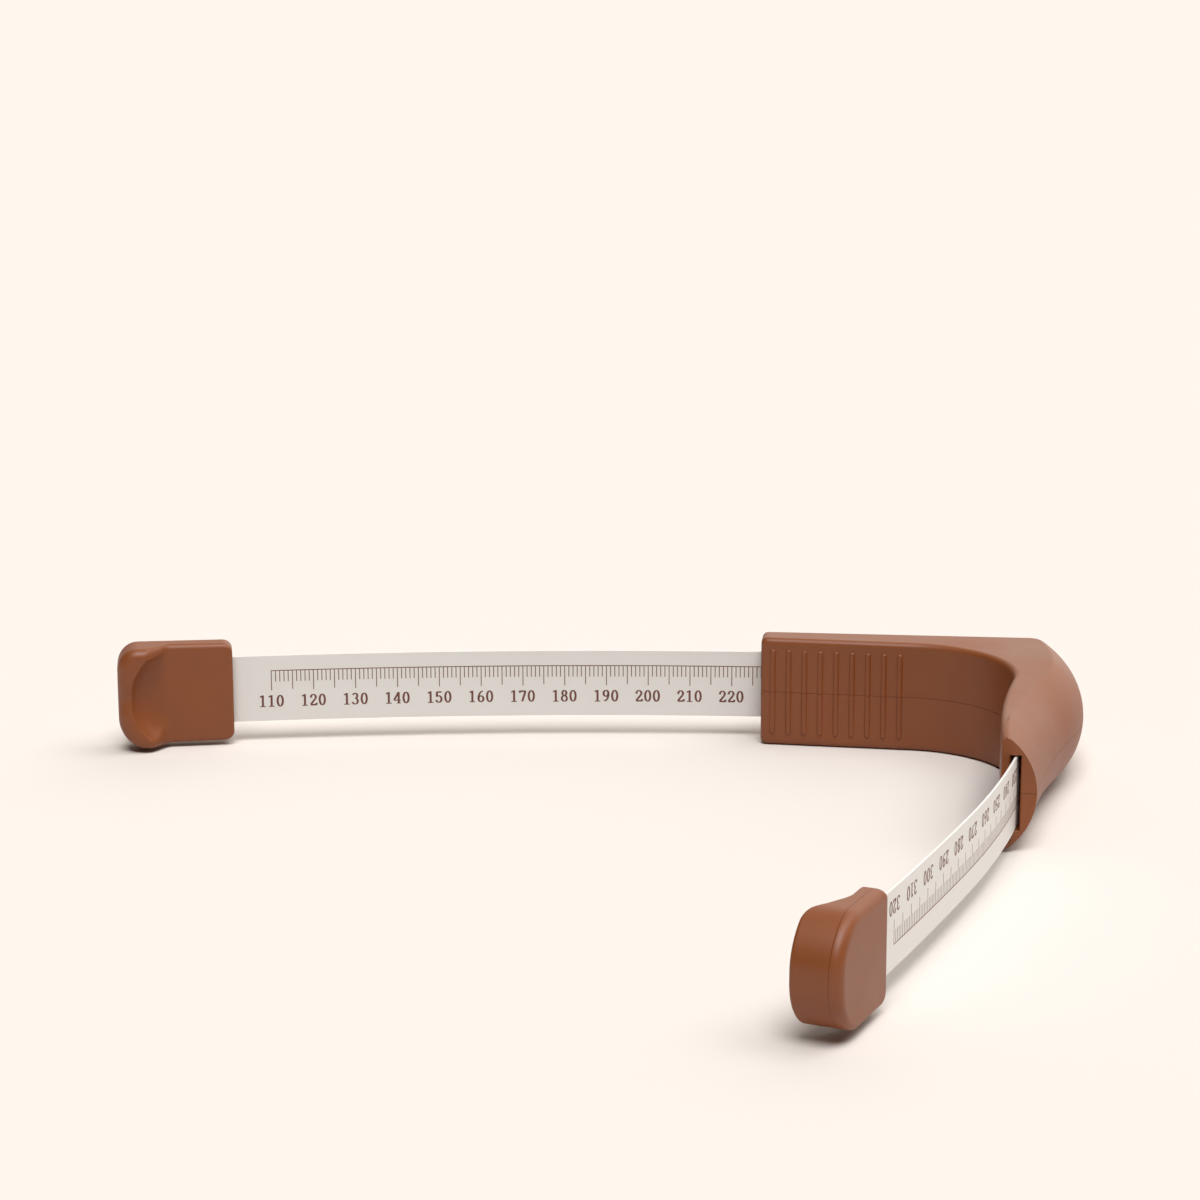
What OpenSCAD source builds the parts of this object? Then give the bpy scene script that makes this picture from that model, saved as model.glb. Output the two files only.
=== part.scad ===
// Inside shoe gauge: a printed plastic strip slides through a heel guide and carries a head at each end.
// The toe head touches the toe cap, the guide's rounded corner sits in the heel of the shoe, and the
// pull head stays outside the shoe, where the hand moves it.
// The gauge lies on its side: XY is the table, +Z is up, the toe head points to -X.
// The origin is the axis of the guide's rounded heel corner, on the face that the guide rests on.

/* [Strip] */
// Width of the measuring strip
strip_w = 16; // [15:0.5:17]
// Thickness of the measuring strip
strip_t = 0.5; // [0.4:0.1:0.7]
// Free length of strip between the toe head and the guide
toe_arm = 126.5; // [100:0.5:140]
// Free length of strip between the guide and the pull head
pull_arm = 101; // [80:0.5:115]
// Radius of the bow that the toe arm has taken on
toe_bow_r = 620; // [450:10:1200]
// Radius of the bow of the pull arm next to the guide
pull_bow_near_r = 400; // [300:10:800]
// Radius of the bow of the pull arm next to its head
pull_bow_far_r = 1400; // [900:50:2000]

/* [Heel guide] */
// Height of the guide as it lies on its side
guide_h = 26; // [25:0.5:28]
// How far the rounded outside stands out between its upper and lower edges
dome_rise = 7.2; // [7:0.1:8.2]
// Length of the straight sole side, from the toe end to the heel corner
sole_len = 62.6; // [60:0.2:66]
// Radius of the heel corner, seen from above
heel_corner_r = 10.1; // [9.8:0.1:11]
// Radius of the back of the heel
heel_back_r = 70; // [65:1:75]
// Radius of the hollow above the heel
hollow_r = 240; // [220:5:280]
// Radius of the inner corner
inner_corner_r = 25; // [24:0.5:26]
// Wall thickness of the two shells
wall = 1.8; // [1.5:0.1:2]

/* [Strip channel] */
// Gap on each face of the strip inside the guide
channel_gap = 0.35; // [0.3:0.05:0.5]
// Gap above and below the strip
channel_gap_h = 0.3; // [0.2:0.05:0.5]
// Width of the slot mouth where the strip leaves the guide
mouth_w = 2.3; // [2:0.1:2.4]
// Thickness of the channel's guide walls
channel_wall = 1.2; // [1:0.1:1.4]

/* [Grip ribs] */
// Number of grip ribs on the inner face
rib_count = 9; // [5:1:9]
// Distance between the ribs
rib_pitch = 3.75; // [3.5:0.05:3.8]
// Length of a rib
rib_len = 19.5; // [16:0.5:21]
// Width of a rib
rib_w = 1.5; // [1.1:0.1:1.6]

/* [Heads] */
// Length of a head
head_len = 27.2; // [26:0.2:30]
// Height of a head
head_h = 24; // [23.6:0.2:25.6]
// Thickness of the flat plate of a head
plate_t = 5.5; // [5:0.1:6]
// How far the finger rest stands out from the plate
rest_rise = 5; // [4.5:0.1:5.5]
// Radius of the round scoop in the finger rest
scoop_r = 12.9; // [12:0.1:13]
// Radius of the corners at the toe head's free end
toe_corner_r = 5; // [4:0.5:6]
// Radius of the corners at the pull head's free end
pull_corner_r = 11; // [9:0.5:11.5]
// Radius of the corners at the strip end
near_corner_r = 2.3; // [1.5:0.1:3]

/* [Pins] */
// Diameter of the pins that hold the strip in a head
head_pin_d = 2.4; // [2:0.1:2.6]
// Diameter of the pins that line up the guide's shells
guide_pin_d = 3; // [2.6:0.1:3.2]
// Clearance of each pin in its hole, on the diameter
pin_clear = 0.1; // [0.06:0.02:0.2]
// Clearance between the strip and its pocket in a head, each way
pocket_gap = 0.05; // [0.04:0.01:0.1]

/* [Hidden] */
$fn = 64;

caramel = [0.60, 0.37, 0.24];
bone = [0.87, 0.84, 0.81];

mid_z = guide_h / 2;
dome_r = (mid_z * mid_z + dome_rise * dome_rise) / (2 * dome_rise);
// Larger than the whole gauge, for cutting blocks
far = 400;
// How far joined or cutting shapes run past a face
bite = 1;
step_angle = 4;

// Headings are in degrees anticlockwise from +X, along the strip from the toe head to the pull head.
// A path is a list of [length, radius]: radius 0 is straight, above 0 bends right, below 0 bends left.
sole_heading = -8.1;
run_out = 4;
corner_turn = 73.8;
back_turn = 33;
hollow_len = 50;
outer_path = [
    [sole_len + run_out, 0],
    [heel_corner_r * corner_turn * PI / 180, heel_corner_r],
    [heel_back_r * back_turn * PI / 180, heel_back_r],
    [hollow_len, -hollow_r]
];
outer_start = advance(
    [-heel_corner_r * sin(sole_heading), heel_corner_r * cos(sole_heading), sole_heading],
    [-sole_len - run_out, 0]
);

inner_heading = -11.8;
inner_straight = 35.5;
inner_turn = 95.2;
inner_hollow_r = 254;
inner_hollow_len = 47.9;
inner_first = [-62.7, 5.2, inner_heading];
inner_start = advance(inner_first, [-run_out, 0]);
inner_arc = inner_corner_r * inner_turn * PI / 180;
inner_clear = 0.9 * inner_corner_r;
inner_path = [
    [inner_straight + run_out, 0],
    [inner_arc, inner_corner_r],
    [inner_hollow_len, -inner_hollow_r],
    [run_out, 0]
];

inner_zones = [
    [inner_straight + run_out, 0],
    [inner_arc / 2, inner_corner_r],
    [inner_arc / 2, inner_corner_r],
    [inner_hollow_len + run_out, -inner_hollow_r]
];
zone_steps = [1, 9, 8, 4];
arc_steps = 16;
// How far the skin runs past the inner face before that is cut
spare = 1.5;

toe_slot = [-61.6, 11.9, -6.2];
sole_run = [33.1, 404];
bend_run = [59.1, 35];
back_run = [45.3, 0];
channel_path = [sole_run, bend_run, back_run];
pull_slot = pose_at(toe_slot, channel_path, 3);
near_share = 0.45;
tail = 19;
toe_root = advance(toe_slot, [-toe_arm, toe_bow_r]);
strip_start = advance(toe_root, [-tail, 0]);
strip_path = [
    [tail, 0],
    [toe_arm, toe_bow_r],
    sole_run,
    bend_run,
    back_run,
    [pull_arm * near_share, pull_bow_near_r],
    [pull_arm * (1 - near_share), pull_bow_far_r],
    [tail, 0]
];
pull_root = pose_at(strip_start, strip_path, 7);

end_heading = -95.5;
end_wall = 2.4;

channel_w = strip_t + 2 * channel_gap;
channel_h = strip_w + 2 * channel_gap_h;
mouth_len = 3;

rib_first = 2.9;
rib_r = rib_w / 2;
rib_sink = 0.3;

post_wall = 1.5;
post_d = guide_pin_d + 2 * post_wall;
pin_len = 4;
pin_end_gap = 0.5;
post_places = [[-48, 13.6], [-24, 9.4], [0, 0], [-3.2, -27], [-8.4, -50]];

pin_step = 9;
pin_first = 5;
head_pin_len = 1.6;
head_pin_end_gap = 0.2;
pocket_end_gap = 1;
punch_len = 4;
strip_hole_d = head_pin_d + 2 * pin_clear;

plate_edge_r = 2.5;
rest_tip_r = 1.5;
// Length of the finger rest, from its foot to the free end
rest_len = 12.4;
rest_foot = head_len - rest_len;
end_bow_r = 3 * head_h;
scoop_rim = 3;
scoop_curve_r = 6;

// End of one stretch of path: [x, y, heading]
function advance(p, s) =
    s[1] == 0
        ? [p[0] + s[0] * cos(p[2]), p[1] + s[0] * sin(p[2]), p[2]]
        : let (turn = s[0] / s[1] * 180 / PI, out = p[2] - turn)
            [
                p[0] + s[1] * (sin(p[2]) - sin(out)),
                p[1] - s[1] * (cos(p[2]) - cos(out)),
                out
            ];

// Place at a share of the way along stretch i of a path
function stop(start, path, i, share) =
    advance(pose_at(start, path, i), [path[i][0] * share, path[i][1]]);

// Start of stretch i of a path
function pose_at(start, path, i) = i == 0 ? start : advance(pose_at(start, path, i - 1), path[i - 1]);

// Places along a whole path, close enough together for its bends
function stops(start, path) = [
    for (i = [0 : len(path) - 1])
        let (n = steps_of(path[i]))
        for (k = [0 : n - (i < len(path) - 1 ? 1 : 0)])
            stop(start, path, i, k / n)
];

function steps_of(s) = s[1] == 0 ? 1 : max(4, ceil(abs(s[0] / s[1]) * 180 / PI / step_angle));

// Corners of the guide's section at one place: two on the inner side, then up the rounded outside
function section_ring(outer, inner, inset) =
    let (
        r = dome_r - inset,
        half = mid_z - inset,
        limit = asin(half / r),
        back = inset_point(inner, -spare)
    )
    concat(
        [[back[0], back[1], mid_z + half], [back[0], back[1], mid_z - half]],
        [
            for (k = [0 : arc_steps])
                let (a = limit * (2 * k / arc_steps - 1), at = inset_point(outer, r * cos(a) - dome_r))
                [at[0], at[1], mid_z + r * sin(a)]
        ]
    );

// The point beside a place on a path, on its left when offset is above 0
function inset_point(p, offset) = [p[0] - offset * sin(p[2]), p[1] + offset * cos(p[2])];

// Joins rings of equal length into one closed skin
module skin(rings) {
    n = len(rings[0]);
    last = len(rings) - 1;
    sides = [
        for (i = [0 : last - 1], k = [0 : n - 1])
            let (a = i * n + k, b = i * n + (k + 1) % n)
            each [[a, a + n, b], [b, a + n, b + n]]
    ];
    caps = [for (k = [1 : n - 2]) each [[0, k, k + 1], [last * n, last * n + k + 1, last * n + k]]];
    polyhedron(points = [for (ring = rings) each ring], faces = concat(sides, caps));
}

// The guide as a skin from its inner corner to its rounded outside, drawn in by inset
module dome_loft(inset = 0) {
    skin([
        for (zone = [0 : 3], k = [0 : zone_steps[zone] - (zone < 3 ? 1 : 0)])
            let (share = k / zone_steps[zone])
            section_ring(
                stop(outer_start, outer_path, zone, share),
                stop(inner_start, inner_zones, zone, share),
                inset
            )
    ]);
}

// An upright band that follows a path, between two distances on its left and between two heights
module ribbon(start, path, from, to, low, high) {
    places = stops(start, path);
    last = len(places) - 1;
    translate([0, 0, low])
        linear_extrude(height = high - low)
            polygon(concat(
                [for (i = [0 : last]) inset_point(places[i], to)],
                [for (i = [last : -1 : 0]) inset_point(places[i], from)]
            ));
}

// A block far wider than the guide, beyond one of its ends
module beyond(p, shift) {
    translate([p[0], p[1], -bite])
        rotate([0, 0, p[2]])
            translate([shift, -far / 2, 0])
                cube([far, far, guide_h + 2 * bite]);
}

module guide_ends(shift) {
    beyond([toe_slot[0], toe_slot[1], sole_heading + 180], shift);
    beyond([pull_slot[0], pull_slot[1], end_heading], shift);
}

// Everything on the inner side of the inner face, moved outwards by shift
module inside_of_v(shift) {
    ribbon(inner_start, inner_path, -inner_clear, shift, -bite, guide_h + bite);
}

module guide_body() {
    difference() {
        dome_loft();
        inside_of_v(0);
        guide_ends(0);
    }
}

// Hollow between the channel's outer wall and the rounded outside
module guide_hollow() {
    difference() {
        dome_loft(wall);
        inside_of_v(wall);
        guide_ends(-end_wall);
        channel_run(channel_w / 2 + channel_wall, 0, guide_h);
    }
}

module channel_run(half, low, high) {
    ribbon(toe_slot, channel_path, -half, half, low, high);
}

module channel() {
    low = mid_z - channel_h / 2;
    high = mid_z + channel_h / 2;
    channel_run(channel_w / 2, low, high);
    for (slot = [toe_slot, pull_slot])
        ribbon(advance(slot, [-mouth_len, 0]), [[2 * mouth_len, 0]], -mouth_w / 2, mouth_w / 2, low, high);
}

module ribs() {
    for (i = [0 : rib_count - 1]) {
        at = advance(inner_first, [rib_first + i * rib_pitch, 0]);
        translate([at[0] - rib_sink * sin(at[2]), at[1] + rib_sink * cos(at[2]), mid_z]) {
            cylinder(h = rib_len - rib_w, r = rib_r, center = true);
            for (end = [-1, 1])
                translate([0, 0, end * (rib_len - rib_w) / 2])
                    sphere(r = rib_r);
        }
    }
}

module posts() {
    for (at = post_places)
        translate([at[0], at[1], 0])
            cylinder(h = guide_h, d = post_d);
}

// One of the guide's shells, cut from the whole between two heights
module guide_half(low, high) {
    intersection() {
        difference() {
            union() {
                guide_body();
                ribs();
            }
            difference() {
                guide_hollow();
                posts();
            }
            channel();
        }
        translate([-far / 2, -far / 2, low])
            cube([far, far, high - low]);
    }
}

module guide_upper_shell() {
    color(caramel) {
        guide_half(mid_z, guide_h);
        for (at = post_places)
            translate([at[0], at[1], mid_z - pin_len])
                cylinder(h = pin_len + bite, d = guide_pin_d);
    }
}

module guide_lower_shell() {
    color(caramel)
        difference() {
            guide_half(0, mid_z);
            for (at = post_places)
                translate([at[0], at[1], mid_z - pin_len - pin_end_gap])
                    cylinder(h = pin_len + pin_end_gap + bite, d = guide_pin_d + pin_clear);
        }
}

// Places its children at a head: x away from the guide, y towards the inner side, z = 0 at mid height
module at_toe_head() {
    translate([toe_root[0], toe_root[1], mid_z])
        rotate([0, 0, toe_root[2] + 180])
            children();
}

module at_pull_head() {
    translate([pull_root[0], pull_root[1], mid_z])
        rotate([0, 0, pull_root[2]])
            mirror([0, 1, 0])
                children();
}

module head_pins(length, diameter) {
    for (i = [0, 1])
        translate([pin_first + i * pin_step, length / 2, 0])
            rotate([90, 0, 0])
                cylinder(h = length, d = diameter, center = true);
}

module strip_holes() {
    translate([0, -punch_len / 2, 0])
        head_pins(punch_len, strip_hole_d);
}

module scale_strip() {
    color(bone)
        difference() {
            ribbon(
                strip_start, strip_path,
                -strip_t / 2, strip_t / 2, mid_z - strip_w / 2, mid_z + strip_w / 2
            );
            at_toe_head()
                strip_holes();
            at_pull_head()
                strip_holes();
        }
}

// Side view of a head: x along it, y up, with rounded corners and a slightly bowed free end
module head_outline(corner_r) {
    half = head_h / 2;
    intersection() {
        union() {
            translate([near_corner_r, -half])
                square([head_len - near_corner_r - corner_r, head_h]);
            translate([0, -half + near_corner_r])
                square([rest_foot, head_h - 2 * near_corner_r]);
            translate([rest_foot, -half + corner_r])
                square([rest_len, head_h - 2 * corner_r]);
            for (end = [-1, 1]) {
                translate([near_corner_r, end * (half - near_corner_r)])
                    circle(r = near_corner_r);
                translate([head_len - corner_r, end * (half - corner_r)])
                    circle(r = corner_r);
            }
        }
        translate([head_len - end_bow_r, 0])
            circle(r = end_bow_r, $fn = 180);
    }
}

// View of a head from above: x along it, y towards the inner side
module head_plan() {
    half = plate_t / 2;
    crest = rest_foot + rest_rise;
    translate([0, -half])
        square([head_len - plate_edge_r, plate_t]);
    translate([head_len - plate_edge_r, -half + plate_edge_r])
        circle(r = plate_edge_r);
    translate([head_len - plate_edge_r * 2, -half + plate_edge_r])
        square([plate_edge_r * 2, plate_t + rest_rise - plate_edge_r - rest_tip_r]);
    translate([crest, half - bite])
        square([head_len - crest - rest_tip_r, rest_rise + bite]);
    translate([head_len - rest_tip_r, half + rest_rise - rest_tip_r])
        circle(r = rest_tip_r);
    difference() {
        translate([rest_foot, half - bite])
            square([rest_rise + 0.01, rest_rise + bite]);
        translate([rest_foot, half + rest_rise])
            circle(r = rest_rise);
    }
}

// Round scoop for the finger: hollowed to the plate in the middle, curving up to its rim
module scoop() {
    reach = sqrt(pow(scoop_curve_r, 2) - pow(rest_rise - scoop_curve_r, 2));
    flat_r = scoop_r - reach;
    translate([head_len - scoop_rim - scoop_r, 0, 0])
        rotate([-90, 0, 0])
            rotate_extrude($fn = 120)
                translate([0, plate_t / 2])
                    intersection() {
                        union() {
                            square([flat_r, rest_rise + bite]);
                            translate([flat_r, scoop_curve_r])
                                circle(r = scoop_curve_r);
                        }
                        square([scoop_r, rest_rise + bite]);
                    }
}

module head_body(corner_r) {
    difference() {
        intersection() {
            translate([0, 0, -head_h / 2])
                linear_extrude(height = head_h)
                    head_plan();
            rotate([90, 0, 0])
                translate([0, 0, -head_h])
                    linear_extrude(height = 2 * head_h)
                        head_outline(corner_r);
        }
        scoop();
    }
}

module strip_pocket() {
    width = strip_w + 2 * pocket_gap;
    depth = strip_t + 2 * pocket_gap;
    translate([-bite, -depth / 2, -width / 2])
        cube([tail + pocket_end_gap + bite, depth, width]);
}

module head_inner_half(corner_r) {
    difference() {
        intersection() {
            head_body(corner_r);
            translate([-bite, 0, -head_h])
                cube([head_len + 2 * bite, head_h, 2 * head_h]);
        }
        strip_pocket();
    }
    translate([0, -head_pin_len, 0])
        head_pins(head_pin_len + bite, head_pin_d);
}

module head_outer_half(corner_r) {
    difference() {
        intersection() {
            head_body(corner_r);
            translate([-bite, -head_h, -head_h])
                cube([head_len + 2 * bite, head_h, 2 * head_h]);
        }
        strip_pocket();
        translate([0, -head_pin_len - head_pin_end_gap, 0])
            head_pins(head_pin_len + head_pin_end_gap + bite, head_pin_d + pin_clear);
    }
}

module toe_head_inner_half() {
    color(caramel)
        at_toe_head()
            head_inner_half(toe_corner_r);
}

module toe_head_outer_half() {
    color(caramel)
        at_toe_head()
            head_outer_half(toe_corner_r);
}

module pull_head_inner_half() {
    color(caramel)
        at_pull_head()
            head_inner_half(pull_corner_r);
}

module pull_head_outer_half() {
    color(caramel)
        at_pull_head()
            head_outer_half(pull_corner_r);
}

guide_upper_shell();
guide_lower_shell();
scale_strip();
toe_head_inner_half();
toe_head_outer_half();
pull_head_inner_half();
pull_head_outer_half();
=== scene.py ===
"""Inside shoe gauge: a printed strip slides through a heel guide and has a head at each end.

Sizes are written in millimetres and become metres when a piece is finished. Plan points are in the
part's own frame: +Z up from the table, -X towards the toe head.
"""

import logging
import math
from dataclasses import dataclass
from enum import Enum
from typing import Callable, Iterable, Sequence

import bmesh
import bpy
from mathutils import Matrix, Quaternion, Vector


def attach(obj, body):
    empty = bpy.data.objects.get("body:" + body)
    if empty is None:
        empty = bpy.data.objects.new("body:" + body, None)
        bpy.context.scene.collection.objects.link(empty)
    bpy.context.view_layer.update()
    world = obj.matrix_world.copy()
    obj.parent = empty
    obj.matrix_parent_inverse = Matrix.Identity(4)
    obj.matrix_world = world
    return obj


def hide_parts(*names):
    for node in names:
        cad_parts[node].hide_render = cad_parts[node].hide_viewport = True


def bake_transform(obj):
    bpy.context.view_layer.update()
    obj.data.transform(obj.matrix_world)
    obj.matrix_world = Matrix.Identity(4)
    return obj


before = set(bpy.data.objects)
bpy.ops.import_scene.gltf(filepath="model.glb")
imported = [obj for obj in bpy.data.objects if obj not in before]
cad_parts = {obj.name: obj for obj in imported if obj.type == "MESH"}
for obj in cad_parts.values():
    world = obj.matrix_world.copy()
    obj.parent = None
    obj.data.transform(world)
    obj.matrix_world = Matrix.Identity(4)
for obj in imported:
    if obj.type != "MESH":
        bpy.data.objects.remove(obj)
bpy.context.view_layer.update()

LOG = logging.getLogger("shoe_gauge")
MM = 0.001
SEAM_GAP = 0.04
SEAM_CHAMFER = 0.16
HEAD_SEAM_GAP = 0.005
HEAD_SEAM_CHAMFER = 0.035
HEAD_SEAM_HEIGHT = 0.2
PULL_HEAD_SHIFT = 1.4


class Body(str, Enum):
    """The bodies that pieces ride on."""

    GUIDE = "guide"
    TOE_HEAD = "toe_head"
    PULL_HEAD = "pull_head"


class Slot(str, Enum):
    """The record's material slots."""

    MOULDED = "moulded_plastic"
    STRIP = "strip_plastic"


class Face(Enum):
    """The two faces of the strip, with the side of the rail that each is on."""

    INNER = -1
    OUTER = 1


def smooth_share(value: float) -> float:
    """Ease from 0 to 1 as value goes from 0 to 1.

    Args:
        value: the share of the way, of any size.

    Returns:
        The eased share, held at 0 and 1 outside.
    """
    t = min(max(value, 0.0), 1.0)
    return t * t * (3.0 - 2.0 * t)


def soft_lower(a: float, b: float, width: float) -> float:
    """The lower of two heights, with the crease between them rounded off.

    Args:
        a: one height.
        b: the other height.
        width: how far apart the heights are where the rounding ends; it shrinks where they are low.

    Returns:
        The blended lower height.
    """
    low = min(a, b)
    reach = max(min(width, 1.5 * low), 1e-6)
    share = max(reach - abs(a - b), 0.0) / reach
    return low - share * share * reach * 0.25


@dataclass(frozen=True)
class Place:
    """A point in plan, in mm, with a heading in radians."""

    x: float
    y: float
    heading: float

    def beside(self, offset: float) -> tuple[float, float]:
        """The point at this offset to the left of the heading."""
        return (self.x - offset * math.sin(self.heading), self.y + offset * math.cos(self.heading))

    def point(self, offset: float, height: float) -> Vector:
        """The point beside this place at a height."""
        x, y = self.beside(offset)
        return Vector((x, y, height))


@dataclass(frozen=True)
class Stretch:
    """A length of rail with one radius: 0 is straight, above 0 bends right, below 0 bends left."""

    length: float
    radius: float = 0.0

    def end(self, start: Place, travelled: float) -> Place:
        """Where the stretch has got to after some travel.

        Args:
            start: where the stretch begins.
            travelled: the distance along it, in mm.

        Returns:
            The place that is reached.
        """
        if self.radius == 0.0:
            return Place(
                start.x + travelled * math.cos(start.heading),
                start.y + travelled * math.sin(start.heading),
                start.heading,
            )
        out = start.heading - travelled / self.radius
        return Place(
            start.x + self.radius * (math.sin(start.heading) - math.sin(out)),
            start.y - self.radius * (math.cos(start.heading) - math.cos(out)),
            out,
        )


@dataclass(frozen=True)
class Rail:
    """A plan curve of joined stretches."""

    start: Place
    stretches: tuple[Stretch, ...]

    def corner(self, index: int) -> float:
        """The distance at which stretch number index begins."""
        return sum(stretch.length for stretch in self.stretches[:index])

    def at(self, distance: float) -> Place:
        """The place at a distance along the rail; the end stretches run on past their ends.

        Args:
            distance: how far along, in mm.

        Returns:
            The place there.
        """
        place = self.start
        left = distance
        for stretch in self.stretches[:-1]:
            if left <= stretch.length:
                return stretch.end(place, left)
            place = stretch.end(place, stretch.length)
            left -= stretch.length
        return self.stretches[-1].end(place, left)


def put_in_order(mesh: bmesh.types.BMesh) -> None:
    """Number a mesh's parts by their places, so that every run treats them in one order.

    Args:
        mesh: the mesh.
    """
    spots = sorted(mesh.verts, key=lambda vert: tuple(vert.co))
    rank = {vert: number for number, vert in enumerate(spots)}
    mesh.verts.sort(key=lambda vert: rank[vert])
    mesh.verts.index_update()
    for parts in (mesh.edges, mesh.faces):
        row = sorted(parts, key=lambda part: sorted(vert.index for vert in part.verts))
        rank = {part: number for number, part in enumerate(row)}
        parts.sort(key=lambda part: rank[part])
        parts.index_update()


def by_place(edge: bmesh.types.BMEdge) -> list[tuple[float, ...]]:
    """Where an edge lies, to sort edges by."""
    return sorted(tuple(vert.co) for vert in edge.verts)


class RingSkin:
    """A skin that is drawn ring by ring, each ring extruded from the last one."""

    def __init__(self, ring: Sequence[Vector]) -> None:
        """Start the skin with its first ring.

        Args:
            ring: the ring's points, in order.
        """
        self.mesh = bmesh.new()
        made = bmesh.ops.create_circle(self.mesh, cap_ends=False, segments=len(ring), radius=1.0)
        self.ring = list(made["verts"])
        self._place(ring)
        self.first_edges = self._edges()

    def _place(self, points: Sequence[Vector]) -> None:
        """Move the open ring's vertices to their points."""
        for vert, point in zip(self.ring, points):
            vert.co = point

    def _edges(self) -> list[bmesh.types.BMEdge]:
        """The open ring's edges."""
        count = len(self.ring)
        return [
            self.mesh.edges.get((self.ring[i], self.ring[(i + 1) % count])) for i in range(count)
        ]

    def extrude_to(self, points: Sequence[Vector]) -> None:
        """Draw the skin on to the next ring.

        Args:
            points: the next ring's points, in the same order.
        """
        order = {vert: i for i, vert in enumerate(self.ring)}
        made = bmesh.ops.extrude_edge_only(self.mesh, edges=self._edges())
        fresh: list[bmesh.types.BMVert] = list(self.ring)
        for vert in (g for g in made["geom"] if isinstance(g, bmesh.types.BMVert)):
            for edge in vert.link_edges:
                other = edge.other_vert(vert)
                if other in order:
                    fresh[order[other]] = vert
        self.ring = fresh
        self._place(points)

    def close(self) -> bmesh.types.BMesh:
        """Cap both ends and turn all faces outwards.

        Returns:
            The closed skin's bmesh.
        """
        bmesh.ops.edgeloop_fill(self.mesh, edges=self.first_edges)
        bmesh.ops.edgeloop_fill(self.mesh, edges=self._edges())
        put_in_order(self.mesh)
        bmesh.ops.recalc_face_normals(self.mesh, faces=self.mesh.faces)
        return self.mesh


def skin_of(rings: Iterable[Sequence[Vector]]) -> bmesh.types.BMesh:
    """Draw one closed skin through rings.

    Args:
        rings: the rings in order, all with the same number of points.

    Returns:
        The closed skin.
    """
    skin: RingSkin | None = None
    for ring in rings:
        if skin is None:
            skin = RingSkin(ring)
        else:
            skin.extrude_to(ring)
    if skin is None:
        raise ValueError("a skin needs rings")
    return skin.close()


def add_mesh(mesh: bmesh.types.BMesh, other: bmesh.types.BMesh) -> None:
    """Move another bmesh's faces into this one.

    Args:
        mesh: the bmesh that grows.
        other: the bmesh that is used up.
    """
    carrier = bpy.data.meshes.new("carrier")
    other.to_mesh(carrier)
    other.free()
    mesh.from_mesh(carrier)
    bpy.data.meshes.remove(carrier)


def slice_off(mesh: bmesh.types.BMesh, at: Vector, outward: Vector) -> list[bmesh.types.BMFace]:
    """Cut away all that lies beyond a plane and cap what is left.

    Args:
        mesh: the solid to cut.
        at: a point on the plane.
        outward: the plane's normal, towards the side that goes.

    Returns:
        The new caps.
    """
    everything = list(mesh.verts) + list(mesh.edges) + list(mesh.faces)
    cut = bmesh.ops.bisect_plane(
        mesh, geom=everything, dist=1e-5, plane_co=at, plane_no=outward, clear_outer=True
    )
    edges = [g for g in cut["geom_cut"] if isinstance(g, bmesh.types.BMEdge)]
    edges.sort(key=by_place)
    return list(bmesh.ops.edgeloop_fill(mesh, edges=edges)["faces"])


def round_edges(
    mesh: bmesh.types.BMesh, edges: Sequence[bmesh.types.BMEdge], radius: float, segments: int
) -> None:
    """Round edges off.

    Args:
        mesh: the solid.
        edges: the edges to round.
        radius: how far the rounding reaches, in mm.
        segments: its number of steps.
    """
    bmesh.ops.bevel(
        mesh,
        geom=list(edges),
        offset=radius,
        offset_type="OFFSET",
        segments=segments,
        profile=0.5,
        affect="EDGES",
        clamp_overlap=True,
        material=-1,
    )


def finish_piece(
    mesh: bmesh.types.BMesh,
    name: str,
    material: bpy.types.Material,
    sharp: float = 40.0,
) -> bpy.types.Object:
    """Make an object at the origin from a bmesh in millimetres.

    Args:
        mesh: the finished shape, which is used up.
        name: the object's name.
        material: its finish.
        sharp: edges above this angle stay sharp, in degrees.

    Returns:
        The new object.
    """
    bmesh.ops.scale(mesh, vec=(MM, MM, MM), verts=mesh.verts)
    bmesh.ops.recalc_face_normals(mesh, faces=mesh.faces)
    put_in_order(mesh)
    data = bpy.data.meshes.new(name)
    mesh.to_mesh(data)
    mesh.free()
    data.polygons.foreach_set("use_smooth", [True] * len(data.polygons))
    data.set_sharp_from_angle(angle=math.radians(sharp))
    data.materials.append(material)
    piece = bpy.data.objects.new(name, data)
    bpy.context.scene.collection.objects.link(piece)
    return piece


def keep_flats_flat(piece: bpy.types.Object) -> None:
    """Let large flat faces set the shading next to their rounded edges."""
    weighted = piece.modifiers.new("flat_faces", "WEIGHTED_NORMAL")
    weighted.weight = 80
    weighted.keep_sharp = True


def carve(target: bmesh.types.BMesh, cutter: bmesh.types.BMesh) -> bmesh.types.BMesh:
    """Cut one closed solid out of another.

    Args:
        target: the solid that is cut, used up.
        cutter: the solid that is taken away, used up.

    Returns:
        What is left.
    """
    pieces: list[bpy.types.Object] = []
    for label, source in (("carved", target), ("cutter", cutter)):
        data = bpy.data.meshes.new(label)
        source.to_mesh(data)
        source.free()
        made = bpy.data.objects.new(label, data)
        bpy.context.scene.collection.objects.link(made)
        pieces.append(made)
    carved, tool = pieces
    modifier = carved.modifiers.new("cut", "BOOLEAN")
    modifier.operation = "DIFFERENCE"
    modifier.solver = "EXACT"
    modifier.object = tool
    graph = bpy.context.evaluated_depsgraph_get()
    left = bmesh.new()
    left.from_mesh(carved.evaluated_get(graph).to_mesh())
    for made in pieces:
        data = made.data
        bpy.data.objects.remove(made)
        bpy.data.meshes.remove(data)
    put_in_order(left)
    return left


# Finishes


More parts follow.
